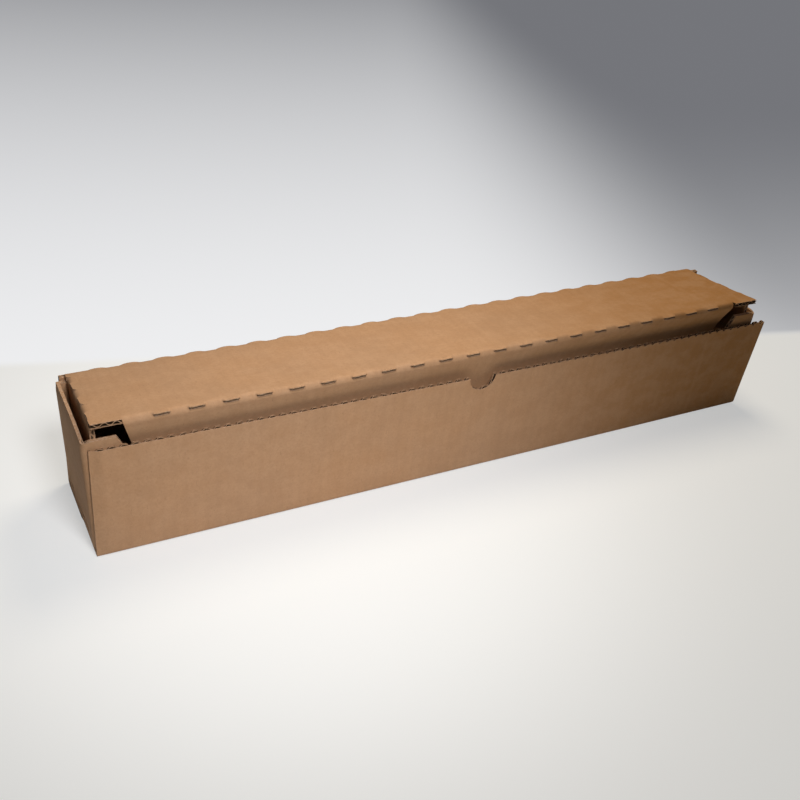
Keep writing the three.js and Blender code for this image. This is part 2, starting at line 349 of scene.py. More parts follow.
class Graph:
    """Short names for building a node tree."""

    def __init__(self, tree):
        self.tree = tree

    def node(self, kind, **values):
        n = self.tree.nodes.new(kind)
        for key, value in values.items():
            if hasattr(n, key):
                setattr(n, key, value)
            else:
                n.inputs[key.replace("_", " ").title()].default_value = value
        return n

    def link(self, a, b):
        self.tree.links.new(a, b)

    def attribute(self, name):
        return self.node("ShaderNodeAttribute", attribute_name=name).outputs["Fac"]

    def math(self, operation, a, b=None, clamp=False):
        n = self.tree.nodes.new("ShaderNodeMath")
        n.operation = operation
        n.use_clamp = clamp
        for socket, value in zip(n.inputs, (a, b)):
            if value is None:
                continue
            if isinstance(value, (int, float)):
                socket.default_value = value
            else:
                self.link(value, socket)
        return n.outputs[0]

    def ramp(self, source, low, high, to_low=0.0, to_high=1.0):
        n = self.tree.nodes.new("ShaderNodeMapRange")
        n.interpolation_type = "SMOOTHSTEP"
        self.link(source, n.inputs["Value"])
        ends = {"From Min": low, "From Max": high, "To Min": to_low, "To Max": to_high}
        for key, value in ends.items():
            n.inputs[key].default_value = value
        return n.outputs["Result"]

    def mix(self, factor, a, b, blend="MIX"):
        n = self.tree.nodes.new("ShaderNodeMix")
        n.data_type = "RGBA"
        n.blend_type = blend
        for socket, value in ((n.inputs[0], factor), (n.inputs[6], a), (n.inputs[7], b)):
            if isinstance(value, (int, float)):
                socket.default_value = value
            elif isinstance(value, tuple):
                socket.default_value = (*value, 1.0)
            else:
                self.link(value, socket)
        return n.outputs[2]

    def noise(self, vector, scale, detail=3.0, rough=0.5, stretch=(1, 1, 1)):
        mapping = self.tree.nodes.new("ShaderNodeMapping")
        self.link(vector, mapping.inputs["Vector"])
        mapping.inputs["Scale"].default_value = stretch
        n = self.tree.nodes.new("ShaderNodeTexNoise")
        self.link(mapping.outputs["Vector"], n.inputs["Vector"])
        n.inputs["Scale"].default_value = scale
        n.inputs["Detail"].default_value = detail
        n.inputs["Roughness"].default_value = rough
        return n.outputs["Fac"]


KRAFT = (0.50, 0.283, 0.150)
KRAFT_DARK = (0.40, 0.215, 0.105)
KRAFT_LIGHT = (0.60, 0.365, 0.215)
KRAFT_GREY = (0.42, 0.265, 0.165)
# painted shade: the darker, warmer tone the board is given at its dim right end
KRAFT_RIGHT_END_SHADE = (0.43, 0.19, 0.045)
FIBRE_DARK = (0.20, 0.105, 0.05)
CUT_PAPER = (0.56, 0.375, 0.25)
HOLLOW_SHADE_COLOUR = (0.022, 0.012, 0.007)
BAND_PLACES = ((268.0, 3.0), (447.0, 2.5))


def cut_edge_colour(g, flute, across, crossing, place):
    """What a cut edge shows: two pale liners, the wave of the fluting between, and its hollows painted
    dark as painted shade; a slit's lip gets a painted shadow line.
    """
    hair = g.noise(place, 1100, 3, 0.7)
    paper = g.mix(g.ramp(hair, 0.3, 0.72), KRAFT_DARK, CUT_PAPER)
    ragged = g.math("MULTIPLY", g.math("SUBTRACT", hair, 0.5), 0.5)
    wave = g.math("MULTIPLY", g.math("COSINE", g.math("MULTIPLY", flute, math.tau / FLUTE_PITCH)), 0.7)
    off_wave = g.math("ADD", g.math("ABSOLUTE", g.math("SUBTRACT", across, wave)), ragged)
    off_middle = g.math("ADD", g.math("ABSOLUTE", across), ragged)
    # painted shade: the hollows between the liners and the medium are painted dark
    hollow = g.math("MULTIPLY", g.ramp(off_wave, 0.3, 0.5), g.ramp(off_middle, 0.5, 0.68, 0.85, 0.0))
    # painted shadow: on a slit's lip a dark line stands for the shade in the slit
    torn = g.math("ADD", across, ragged)
    dark_line = g.math("MULTIPLY", g.ramp(torn, 0.25, 0.55, 1.0, 0.0),
                       g.ramp(torn, -0.7, -0.1, 0.3, 1.0))
    lip_shadow_line = g.math("MULTIPLY", dark_line, g.ramp(crossing, 1.2, 1.8, 0.0, 0.75))
    hollow = g.math("MAXIMUM", g.math("MULTIPLY", hollow, g.ramp(crossing, 0.0, 1.0)), lip_shadow_line)
    return g.mix(hollow, paper, HOLLOW_SHADE_COLOUR)


def kraft_board():
    material, tree = new_material("kraft_board")
    g = Graph(tree)
    place = g.node("ShaderNodeTexCoord").outputs["Object"]
    flute = g.attribute("flute")
    cut = g.attribute("cut")
    across = g.attribute("across")
    deep = g.attribute("deep")
    crossing = g.attribute("open")

    # clouds of pulp, specks of a millimetre or less and single darker fibres along the machine way
    clouds = g.noise(place, 14, 4, 0.6)
    patches = g.noise(place, 75, 4, 0.65, (0.8, 1.1, 1.1))
    pulp = g.noise(place, 620, 4, 0.7)
    specks = g.noise(place, 1900, 2, 0.6)
    fibres = g.noise(place, 1300, 2, 0.6, (1.0, 0.2, 0.2))
    wave = g.math("COSINE", g.math("MULTIPLY", flute, math.tau / FLUTE_PITCH))

    parts = g.node("ShaderNodeSeparateXYZ")
    g.link(place, parts.inputs[0])
    base = g.mix(g.ramp(clouds, 0.32, 0.68, 0.0, 0.4), KRAFT, KRAFT_GREY)
    # painted shade: the board is painted darker and warmer towards the right end, where less light
    # falls
    base = g.mix(g.ramp(parts.outputs["X"], 0.0, 0.26, 0.0, 0.8), base, KRAFT_RIGHT_END_SHADE)
    base = g.mix(g.ramp(patches, 0.36, 0.66, 0.0, 0.34), base, KRAFT_LIGHT)
    base = g.mix(g.ramp(pulp, 0.38, 0.7, 0.0, 0.36), base, KRAFT_DARK)
    base = g.mix(g.ramp(specks, 0.55, 0.75, 0.0, 0.3), base, KRAFT_LIGHT)
    base = g.mix(g.ramp(fibres, 0.62, 0.8, 0.0, 0.32), base, FIBRE_DARK)
    # the liner is a touch darker over the hollows between two flute tips
    base = g.mix(g.ramp(wave, -1, 1, 0.0, 0.035), base, FIBRE_DARK)
    # two faint pale bands that run up the board, where it was pressed on the machine
    for centre, width in BAND_PLACES:
        away = g.math("ABSOLUTE", g.math("SUBTRACT", flute, centre))
        base = g.mix(g.ramp(away, 0.0, width, 0.12, 0.0), base, KRAFT_LIGHT)
    base = g.mix(cut, base, cut_edge_colour(g, flute, across, crossing, place))
    # painted shade: the inner walls of the open hollows are painted nearly black
    base = g.mix(g.math("MULTIPLY", deep, 0.92), base, HOLLOW_SHADE_COLOUR)

    shader = g.node("ShaderNodeBsdfPrincipled")
    shader.inputs["Roughness"].default_value = 0.8
    shader.inputs["Specular IOR Level"].default_value = 0.2
    g.link(base, shader.inputs["Base Color"])

    washboard = g.node("ShaderNodeBump")
    washboard.inputs["Strength"].default_value = 0.3
    washboard.inputs["Distance"].default_value = 0.0001
    g.link(wave, washboard.inputs["Height"])
    grain = g.node("ShaderNodeBump")
    grain.inputs["Strength"].default_value = 0.3
    grain.inputs["Distance"].default_value = 0.0001
    rough = g.math("ADD", g.math("MULTIPLY", pulp, 0.8), g.math("MULTIPLY", fibres, 0.5))
    g.link(rough, grain.inputs["Height"])
    g.link(washboard.outputs["Normal"], grain.inputs["Normal"])
    g.link(grain.outputs["Normal"], shader.inputs["Normal"])
    out = g.node("ShaderNodeOutputMaterial")
    g.link(shader.outputs[0], out.inputs[0])
    return material


FLOOR_FRONT = (0.95, 0.955, 0.95)
BACKDROP_NEAR = (0.86, 0.865, 0.88)
# painted shade: the colour the backdrop darkens to, far off and to the right
BACKDROP_FAR_SHADE = (0.184, 0.188, 0.205)
# painted shade on the backdrop: metres from the floor line to its darkest, and how it darkens to the
# right
BACKDROP_DEPTH = 1.9
BACKDROP_SLANT = -0.45
BACKDROP_RIGHT = 0.42
BACKDROP_RIGHT_SHARE = 0.54
FLOOR_LINE = ((-0.230, 0.171), (0.353, 0.035))
FLOOR_LINE_SOFT = 0.012
# share of the floor's and the backdrop's colour that the camera sees without shading
FLOOR_LIFT = 0.5
BACKDROP_LIFT = 0.95


def pale_floor():
    """A near-white table in front and a cooler backdrop behind a soft line, painted darker with
    distance and towards the right as painted shade.
    Seen straight from the camera it is partly bright by itself, so that the shadows stay light."""
    material, tree = new_material("pale_floor")
    g = Graph(tree)
    place = g.node("ShaderNodeTexCoord").outputs["Object"]
    parts = g.node("ShaderNodeSeparateXYZ")
    g.link(place, parts.inputs[0])
    (x0, y0), (x1, y1) = FLOOR_LINE
    length = math.hypot(x1 - x0, y1 - y0)
    across = (-(y1 - y0) / length, (x1 - x0) / length)
    offset = x0 * across[0] + y0 * across[1]
    reach = g.math("ADD", g.math("MULTIPLY", parts.outputs["X"], across[0]),
                   g.math("MULTIPLY", parts.outputs["Y"], across[1]))
    behind = g.math("SUBTRACT", reach, offset)
    aside = g.math("ADD", parts.outputs["X"], g.math("MULTIPLY", parts.outputs["Y"], BACKDROP_SLANT))
    # painted shade: the backdrop darkens with its distance from the floor line and towards the right
    to_right = g.math("MULTIPLY", g.ramp(aside, 0.0, BACKDROP_RIGHT), BACKDROP_RIGHT_SHARE)
    depth = g.math("DIVIDE", g.math("MAXIMUM", behind, 0.0), BACKDROP_DEPTH)
    distance = g.math("ADD", g.math("POWER", depth, 0.7), to_right)
    far = g.mix(g.ramp(distance, 0.0, 1.0), BACKDROP_NEAR, BACKDROP_FAR_SHADE)
    step = g.ramp(behind, 0.0, FLOOR_LINE_SOFT)
    colour = g.mix(step, FLOOR_FRONT, far)
    matt = g.node("ShaderNodeBsdfPrincipled")
    matt.inputs["Roughness"].default_value = 0.75
    matt.inputs["Specular IOR Level"].default_value = 0.15
    g.link(colour, matt.inputs["Base Color"])
    bright = g.node("ShaderNodeEmission")
    g.link(colour, bright.inputs["Color"])
    bright.inputs["Strength"].default_value = 1.0
    rays = g.node("ShaderNodeLightPath")
    share = g.math("ADD", FLOOR_LIFT, g.math("MULTIPLY", step, BACKDROP_LIFT - FLOOR_LIFT))
    seen = g.math("MULTIPLY", share, rays.outputs["Is Camera Ray"])
    both = g.node("ShaderNodeMixShader")
    g.link(seen, both.inputs[0])
    g.link(matt.outputs[0], both.inputs[1])
    g.link(bright.outputs[0], both.inputs[2])
    out = g.node("ShaderNodeOutputMaterial")
    g.link(both.outputs[0], out.inputs[0])
    return material


# Tray

def x_nodes(start, stop, step, phase=0.0):
    """Columns at a steady step counted from phase, with both ends kept."""
    first = math.ceil((start - phase) / step + 0.2)
    last = math.floor((stop - phase) / step - 0.2)
    return np.array([start, *(phase + step * np.arange(first, last + 1)), stop])


def front_top(x):
    """Height of the front wall's cut top edge, with the thumb notch."""
    x = np.asarray(x, float)
    top = np.interp(x, [FRONT_LEFT, FRONT_RIGHT], [TOP_LEFT, TOP_RIGHT])
    dip = np.sqrt(np.clip(NOTCH_RADIUS ** 2 - (x - NOTCH_X) ** 2, 0, None))
    return np.where(dip > 0, top - dip, top + 0.1 * edge_wear(x))


def add_spine(skin):
    """Front wall below its open top, base and back wall."""
    wall = DEPTH / 2 - HALF
    corners = [(-wall, COMB_FOOT), (-wall, HALF), (wall, HALF), (wall, HINGE_Z - 1.5)]
    path, side = follow(corners, FOLD_RADIUS, 4.0, 8)
    share = x_nodes(0.0, 1.0, 1 / 250)
    rows, cols = len(path), len(share)
    y, z = path[:, 0], path[:, 1]
    inside = BOARD + FIT
    # the walls stand out past the base, and their ends start square just above the floor
    in_wall = z > 1.0
    left = np.where(in_wall, np.where(y < 0, FRONT_LEFT, 0.0), inside)
    right = np.where(in_wall, np.where(y < 0, FRONT_RIGHT, END_SPAN), END_SPAN - inside)
    grid_x = left[:, None] + (right - left)[:, None] * share[None, :]
    middle = np.stack([grid_x, np.repeat(y[:, None], cols, 1), np.repeat(z[:, None], cols, 1)], -1)
    normals = np.zeros((rows, cols, 3))
    normals[..., 1] = -side[:, 0][:, None]
    normals[..., 2] = -side[:, 1][:, None]
    thick_sheet(skin, middle, normals, grid_x, place=settle_tray)


def add_open_edge(skin, x, top, foot, outer, inner, place, seed, teeth, outer_teeth=0.0):
    """The open cut edge of a wall that runs along X: two liners with the wavy medium between.
    outer and inner are the y of the wall's two faces; top is the edge's height at each x.
    The inner liner stands as teeth where the fluting holds it and has torn lower between
    them, by teeth; outer_teeth does the same to the outer one."""
    wear = Ripple(16, 1.5, 9, seed)
    way = 1 if inner > outer else -1

    def line(y, z):
        return np.stack([x, np.broadcast_to(y, x.shape), np.broadcast_to(z, x.shape)], -1)

    def strip(lines, flip=False, cut=0.0, deep=0.0):
        faces = grid_faces(len(lines), len(x))
        if flip:
            faces = [f[::-1] for f in faces]
        deep = np.repeat(np.broadcast_to(deep, (len(lines),)), len(x))
        across = np.ones(len(lines) * len(x))
        skin.add(to_row(place(np.stack(lines, 0))), faces, flute=np.tile(x, len(lines)), cut=cut,
                 across=across, deep=deep)

    def liner(face, top_now, inward, flip):
        """One liner: its face, its rounded cut top, and its side towards the hollow."""
        halfway = foot + (top_now - foot) * 0.5
        shoulder = line(face, top_now - 0.12)
        far_lip = line(face + inward * (LINER - 0.1), top_now)
        strip([line(face, foot), line(face, halfway), shoulder], flip)
        strip([shoulder, line(face + inward * 0.1, top_now), far_lip], flip, cut=1.0)
        # the side towards the hollow is painted dark below its top, as painted shade
        strip([far_lip, line(face + inward * LINER, top_now - HOLLOW_START),
               line(face + inward * LINER, top_now - HOLLOW_DEPTH)], flip, deep=(0.2, 1.0, 1.0))

    tip = 0.5 + 0.5 * np.cos(math.tau * x / FLUTE_PITCH)
    notch = smooth((0.42 - tip) / 0.42)
    liner(outer, top - outer_teeth * notch + 0.05 * wear(x), way, way < 0)
    liner(inner, top - teeth * notch + 0.1 * wear(x, 7.0), -way, way > 0)
    swing = (abs(inner - outer) - 2 * LINER - MEDIUM) / 2
    lean = np.cos(math.tau * x / FLUTE_PITCH)
    wave = (inner + outer) / 2 + way * swing * lean * (np.abs(lean) + 1e-6) ** -0.25
    slope = np.gradient(wave, x)
    length = np.sqrt(1 + slope ** 2)
    nx, ny = -slope / length * MEDIUM / 2, 1 / length * MEDIUM / 2
    medium_top = top - 0.25 + 0.15 * wear(x, 3.0)
    a = np.stack([x + nx, wave + ny, medium_top], -1)
    b = np.stack([x - nx, wave - ny, medium_top], -1)
    shallow = np.array([0, 0, HOLLOW_START])
    bottom = np.array([0, 0, HOLLOW_DEPTH])
    # both sides of the medium are painted dark below its top, as painted shade
    strip([a - bottom, a - shallow, a], deep=(1.0, 1.0, 0.2))
    strip([a, b], cut=1.0)
    strip([b, b - shallow, b - bottom], deep=(0.2, 1.0, 1.0))


def add_front_edge(skin):
    columns = x_nodes(FRONT_LEFT, FRONT_RIGHT, FLUTE_PITCH / 12)
    columns = columns[np.abs(columns - NOTCH_X) > NOTCH_RADIUS + 0.1]
    turn = np.linspace(0, math.pi, 33)
    round_nodes = NOTCH_X - NOTCH_RADIUS * np.cos(turn) * 0.9995
    lips = [NOTCH_X - NOTCH_RADIUS - 0.02, NOTCH_X + NOTCH_RADIUS + 0.02]
    x = np.sort(np.concatenate([columns, round_nodes, lips]))
    add_open_edge(skin, x, front_top(x), COMB_FOOT, -DEPTH / 2, -DEPTH / 2 + BOARD, settle_tray, 11,
                  teeth=INNER_TEETH, outer_teeth=np.interp(x, *OUTER_TEETH))
    # side edges of the wall's upper part
    for end, top in ((FRONT_LEFT, TOP_LEFT), (FRONT_RIGHT, TOP_RIGHT)):
        across = np.linspace(-1, 1, 5)
        y = -DEPTH / 2 + HALF * (1 + across)
        z = np.array([COMB_FOOT, top - 1, top - 0.1])
        pts = np.stack(np.broadcast_arrays(end, y[None, :], z[:, None]), -1)
        faces = grid_faces(3, 5)
        if end == FRONT_LEFT:
            faces = [f[::-1] for f in faces]
        skin.add(to_row(settle_tray(pts)), faces, flute=end, cut=1.0, across=np.tile(across, 3))


def add_ends(skin):
    """End walls with their corner tabs, and the crease that joins them to the base."""
    tab_y = DEPTH / 2 - HALF - BOARD - FIT
    for side in (0, 1):
        corners = [(TAB_LENGTH, -tab_y), (HALF, -tab_y), (HALF, tab_y), (TAB_LENGTH, tab_y)]
        path, normal = follow(corners, FOLD_RADIUS, 1.2, 8)
        inward = path[:, 0]
        back = path[:, 1] > tab_y - FOLD_RADIUS
        z = np.concatenate([np.linspace(TAB_FOOT, 60, 8), np.linspace(61, END_HEIGHT, 24)])
        rows, cols = len(z), len(path)
        px = np.repeat(inward[None, :], rows, 0)
        py = np.repeat(path[None, :, 1], rows, 0)
        pz = np.repeat(z[:, None], cols, 1)
        # worn top edge: a nearly straight cut that dips at the front crease
        dip = np.exp(-((path[:, 1] + tab_y - 0.5) / 1.6) ** 2) * np.exp(-((inward - 2) / 2.5) ** 2)
        top_dip = 0.1 * edge_wear(path[:, 1] * 0.6 + 40 * side, inward * 0.6) - 1.0 * dip
        if side:
            top_dip = top_dip - BACK_CORNER * smooth((path[:, 1] - tab_y + 12) / 11)
        pz = pz + smooth((pz - 70) / 14) * top_dip[None, :]
        # back tabs stop under the lid; tab ends slant outward going down
        limit = np.where(back & (inward > 1.2), BACK_TAB_TOP, END_HEIGHT)
        squeeze = (limit - TAB_FOOT)[None, :] / (END_HEIGHT - TAB_FOOT)
        pz = np.minimum(pz, TAB_FOOT + (pz - TAB_FOOT) * squeeze)
        slant = np.clip((pz - (END_HEIGHT - TAB_SLANT_DROP)) / TAB_SLANT_DROP, 0, 1)
        end_now = TAB_LENGTH - (TAB_LENGTH - TAB_TOP_LENGTH) * slant
        crease_end = HALF + FOLD_RADIUS
        stretch = (end_now - crease_end) / (TAB_LENGTH - crease_end)
        px = np.where(px > crease_end, crease_end + (px - crease_end) * stretch, px)
        sway = 0.4 * Ripple(8, 40, 120, 21 + side)(py, pz)
        px = px + np.abs(sway) * smooth((tab_y - np.abs(py)) / 12)
        mx = END_SPAN - px - RACK_RIGHT * pz if side else px - RACK * pz
        middle = np.stack([mx, py, pz], -1)
        n = np.zeros((rows, cols, 3))
        n[..., 0] = normal[None, :, 0] * (-1 if side else 1)
        n[..., 1] = normal[None, :, 1]
        if side:
            middle, n, pz = middle[:, ::-1], n[:, ::-1], pz[:, ::-1]
        # the normal has to point out of the box on both sides
        from_centre = middle - np.array([END_SPAN / 2, 0, 0])
        n = n * np.sign((n * from_centre * [1, 1, 0]).sum())
        in_end_wall = smooth((tab_y - np.abs(middle[..., 1])) / 3 + 0.3)
        worn = END_CRUSH * smooth((pz - END_HEIGHT + 7) / 7) * in_end_wall
        thick_sheet(skin, middle, n, pz, half=HALF - worn, place=settle_tray)

        # crease to the base
        foot_x = END_SPAN - HALF if side else HALF
        base_x = END_SPAN - FOOT_RUN if side else FOOT_RUN
        low = HALF - 0.02
        corners = [(base_x, low), (foot_x, low), (foot_x, TAB_FOOT + 5)]
        path, normal = follow(corners, FOLD_RADIUS, 3.0, 8)
        y = np.linspace(-tab_y + FOLD_RADIUS, tab_y - FOLD_RADIUS, 30)
        rows, cols = len(path), len(y)
        mx = np.repeat(path[:, 0][:, None], cols, 1) - RACK * path[:, 1][:, None]
        mz = np.repeat(path[:, 1][:, None], cols, 1)
        middle = np.stack([mx, np.tile(y, (rows, 1)), mz], -1)
        n = np.zeros((rows, cols, 3))
        n[..., 0] = normal[:, 0][:, None]
        n[..., 2] = normal[:, 1][:, None]
        thick_sheet(skin, middle, n, mz, half=HALF - 0.03, place=settle_tray)


def add_back_edge(skin):
    """Top of the back wall, notched down by the slits between the lands of the crease."""
    wall = DEPTH / 2 - HALF
    x = x_nodes(0.0, END_SPAN, SLIT_PITCH / 16, SLIT_START)
    bite = slit_open(x, SLIT_START - SLIT_PITCH / 2, SLIT_COUNT + 1)
    top = HINGE_Z - 0.6 + hinge_lift(x) - 0.9 * bite + 0.1 * edge_wear(x, 50.0)
    lid_end = LID_RIGHT - RIGHT_INSET[0]
    top = top - BACK_CORNER * smooth((x - lid_end + 3) / 7)
    share = np.linspace(0, 1, 6)[:, None]
    z = HINGE_Z - 8 + (top - HINGE_Z + 8)[None, :] * share
    middle = np.stack(np.broadcast_arrays(x[None, :], wall, z), -1).astype(float)
    n = np.zeros_like(middle)
    n[..., 1] = 1.0
    thick_sheet(skin, middle, n, middle[..., 0], half=HALF - 0.01)


# Lid

def hinge_lift(x):
    return np.interp(x, [LID_LEFT, LID_RIGHT], HINGE_LIFT)


def on_lid(p):
    """From (x, a, n) on the lid to working coordinates, at the tilt and twist it has at rest."""
    p = np.asarray(p, float)
    x, a, n = p[..., 0], p[..., 1], p[..., 2]
    tilt = np.interp(x, [LID_LEFT, LID_RIGHT], LID_TILT)
    y = HINGE_Y - a * np.cos(tilt) + n * np.sin(tilt)
    z = HINGE_Z + hinge_lift(x) + a * np.sin(tilt) + n * np.cos(tilt)
    return np.stack([x, y, z], -1)


def settle_lid(p):
    """The lid's slight sag along its length, then its place."""
    p = np.array(p, float)
    x, a = p[..., 0], p[..., 1]
    p[..., 2] = p[..., 2] + smooth(a / 40) * LID_SAG * (panel_sway(x, a + 90) - 0.6)
    return on_lid(p)


def end_inset(a, side):
    """How far the lid's end stands inside its nominal place, a from the hinge."""
    return np.interp(a, [0, LID_REACH], RIGHT_INSET if side else LEFT_INSET)


def slit_distance(at, start, count):
    """How far a place along a cut crease is from the middle of the nearest slit."""
    k = np.clip(np.round((at - start) / SLIT_PITCH), 0, count - 1)
    return np.abs(at - start - k * SLIT_PITCH)


def slit_open(at, start, count, ends=1.6):
    """1 inside a slit, falling softly to 0 on the land beside it."""
    return smooth((SLIT_LENGTH / 2 - slit_distance(at, start, count)) / ends + 0.35)


# Rows of the front crease as shares of its curve; a slit's mouth opens before row MOUTH
FOLD_SHARES = np.linspace(0, 1, 14)[1:]
MOUTH = 6
FOLD_REACH = 2.6


def fold_rows(x, is_open, corner, tuck_dir, tuck_normal):
    """Middle points and normals of the front crease: soft on the lands, two lips at a slit."""
    start = corner - np.array([FOLD_REACH, 0.0])
    end = corner + tuck_dir * FOLD_REACH
    hollow = 0.5 - 0.5 * np.cos(math.tau * x / FLUTE_PITCH)
    from_middle = slit_distance(x, SLIT_START, SLIT_COUNT) / (SLIT_LENGTH / 2)
    taper = np.sqrt(np.clip(1 - from_middle ** 2, 0.04, 1))
    spread = np.interp(x, [LID_LEFT, LID_RIGHT], SLIT_SPREAD)
    gap = (0.3 + 0.5 * hollow ** 2 + 0.1 * fine_wear(x)) * taper * spread
    lip = 1.1 + 0.15 * fine_wear(x, 9.0)
    points, normals = [], []
    for t in FOLD_SHARES:
        land = (1 - t) ** 2 * start + 2 * t * (1 - t) * corner + t ** 2 * end
        tangent = (1 - t) * (corner - start) + t * (end - corner)
        tangent = tangent / np.linalg.norm(tangent)
        land_normal = np.array([-tangent[1], tangent[0]])
        if t < 0.5:
            share = t / FOLD_SHARES[MOUTH - 1]
            cut = start[None, :] + (corner - start)[None, :] * share
            cut = cut + np.outer(lip * share, [1.0, 0.0])
            cut_normal = np.array([0.0, 1.0])
        else:
            share = (t - FOLD_SHARES[MOUTH]) / (1 - FOLD_SHARES[MOUTH])
            along = gap + (FOLD_REACH - gap) * share
            cut = corner[None, :] + tuck_dir[None, :] * along[:, None] + tuck_normal * 0.1
            cut_normal = tuck_normal
        mix = is_open[:, None]
        spot = land[None, :] * (1 - mix) + cut * mix
        normal = land_normal[None, :] * (1 - mix) + cut_normal[None, :] * mix
        normal = normal / np.linalg.norm(normal, axis=1)[:, None]
        points.append(np.stack([x, spot[:, 0], spot[:, 1]], -1))
        normals.append(np.stack([np.zeros(len(x)), normal[:, 0], normal[:, 1]], -1))
    return points, normals


def add_lid(skin):
    """Panel, front crease with its slits, and tuck flap."""
    x = x_nodes(LID_LEFT, LID_RIGHT, SLIT_PITCH / 32, SLIT_START)
    tuck_left, tuck_right = LID_LEFT + TUCK_INSET, LID_RIGHT - TUCK_INSET
    side_step = np.array([0.25, 0.5, 1.0, 1.6, 2.3])
    extra = [tuck_left, tuck_right, *(LID_LEFT + side_step), *(LID_RIGHT - side_step)]
    x = np.unique(np.round(np.concatenate([x, extra]), 3))
    cols = len(x)
    panel_a = np.concatenate([[LID_BACK, LID_BACK + 0.7, LID_BACK + 1.6, LID_BACK + 2.8],
                              np.linspace(6, LID_REACH - 6, 24),
                              [LID_REACH - 4, LID_REACH - FOLD_REACH]])
    length = math.hypot(TUCK_RECESS, TUCK_DROP)
    tuck_dir = np.array([-TUCK_RECESS, -TUCK_DROP]) / length
    tuck_normal = np.array([-tuck_dir[1], tuck_dir[0]])
    corner = np.array([LID_REACH, 0.0])
    tuck_s = np.concatenate([[3.4, 4.6], np.linspace(7, length, 7)])
    is_open = slit_open(x, SLIT_START, SLIT_COUNT)

    rows_p = [np.stack([x, np.full(cols, a), np.zeros(cols)], -1) for a in panel_a]
    rows_n = [np.tile([0.0, 0.0, 1.0], (cols, 1)) for a in panel_a]
    points, normals = fold_rows(x, is_open, corner, tuck_dir, tuck_normal)
    rows_p += points
    rows_n += normals
    for s in tuck_s:
        spot = corner + tuck_dir * s
        rows_p.append(np.stack([x, np.full(cols, spot[0]), np.full(cols, spot[1])], -1))
        rows_n.append(np.tile([0.0, tuck_normal[0], tuck_normal[1]], (cols, 1)))
    middle = np.array(rows_p)
    normal = np.array(rows_n)
    rows = len(middle)
    first_fold = len(panel_a)
    row = np.arange(rows)[:, None]

    # tapered ends of the tuck flap
    fall = np.clip(-middle[:, :, 2], 0, None)
    mid_x = (tuck_left + tuck_right) / 2
    half_width = (tuck_right - tuck_left) / 2
    shrink = (half_width - fall * TUCK_TAPER) / half_width
    tapered = mid_x + (middle[:, :, 0] - mid_x) * shrink
    middle[:, :, 0] = np.where(row >= first_fold, tapered, middle[:, :, 0])

    # side edges: cut straight at the slits of the ear creases, drawn in on the lands
    a = middle[:, :, 1]
    ear_cut = slit_open(a, EAR_SLIT_START, EAR_SLIT_COUNT)
    past_ear = smooth(EAR_BACK - a + 0.5) + smooth(a - EAR_FRONT + 0.5)
    free = np.clip(ear_cut + past_ear, 0, 1)
    ragged = 0.35 * (fine_wear(a, 3.0) + 1) * ear_cut
    for side, edge, way in ((0, LID_LEFT, 1), (1, LID_RIGHT, -1)):
        from_edge = np.abs(x - edge)[None, :]
        draw = ((1 - free) * EAR_DRAW[side] + ragged) * (1 - smooth(from_edge / 8))
        draw += end_inset(a, side) * (1 - smooth(from_edge / (TUCK_INSET - 1)))
        middle[:, :, 0] += np.where(row < first_fold, way * draw, 0.0)

    # the flap bows a little inwards, which turns its upper part away from the light
    bow = np.interp(x, [LID_LEFT, LID_RIGHT], TUCK_BOW)[None, :]
    middle[:, :, 1] -= bow * np.sin(np.pi * np.clip(fall / TUCK_DROP, 0, 1))

    # which cells exist
    centre_x = (x[:-1] + x[1:]) / 2
    in_tuck = (centre_x > tuck_left) & (centre_x < tuck_right)
    keep = np.ones((rows - 1, cols - 1), bool)
    keep[first_fold - 1:, :] = in_tuck[None, :]
    slit_cell = slit_distance(centre_x, SLIT_START, SLIT_COUNT) < SLIT_LENGTH / 2
    keep[first_fold + MOUTH - 1, slit_cell] = False

    # the crease is pressed thin on its lands, and the board is pinched at its lips
    half = np.full((rows, cols), HALF)
    pressed = np.exp(-((row - (first_fold + MOUTH)) / 4.5) ** 2)
    half = half - pressed * (0.75 * (1 - is_open) + 0.55 * is_open)[None, :]

    # back crease: slits bite into the panel's edge, lands are left thin under the straps
    bite = slit_open(x, SLIT_START - SLIT_PITCH / 2, SLIT_COUNT + 1, 3.0)
    for i, share in enumerate((1.0, 0.72, 0.45, 0.15)):
        middle[i, :, 1] += share * (1.3 * bite + 0.15 * edge_wear(x, 30.0))
        middle[i, :, 2] -= share * 0.35 * bite
        half[i, :] -= (1 - bite) * 0.5 * share
    near_mouth = np.abs(row - first_fold - MOUTH + 0.5) < 1
    lip = np.where(near_mouth, is_open[None, :], 0.0)
    thick_sheet(skin, middle, normal, x[None, :], keep, half, settle_lid, lip)

    # the two free front corners, open at their cut front edge
    add_corner_edge(skin, LID_LEFT + LEFT_INSET[1], tuck_left, panel_a[-1])
    add_corner_edge(skin, tuck_right, LID_RIGHT - RIGHT_INSET[1], panel_a[-1])


def add_corner_edge(skin, lo, hi, back):
    """Front edge of the lid beside the tuck flap: liners and medium stand open."""
    x = x_nodes(lo, hi, FLUTE_PITCH / 12)
    front = LID_REACH + HALF + 0.12 * fine_wear(x)

    def place(p):
        # the open edge is built standing up along z; here z becomes the way forward
        p = np.asarray(p, float)
        return settle_lid(np.stack([p[..., 0], p[..., 2], -p[..., 1]], -1))

    add_open_edge(skin, x, front, back, -HALF, HALF, place, 31, teeth=0.3)


def ear_limits(drop):
    """Back and front limit of an ear at a depth under the lid; the front is an arc about the hinge."""
    back = EAR_BACK + np.interp(drop, *EAR_BACK_SLANT)
    arc = np.sqrt(EAR_FRONT ** 2 - drop ** 2)
    low = EAR_FRONT * math.sin(EAR_ROUND)
    nose = EAR_FRONT * math.cos(EAR_ROUND)
    slant = np.interp(drop, [low, EAR_DROP], [nose, EAR_FRONT - EAR_NOSE])
    return back, np.where(drop < low, arc, slant)


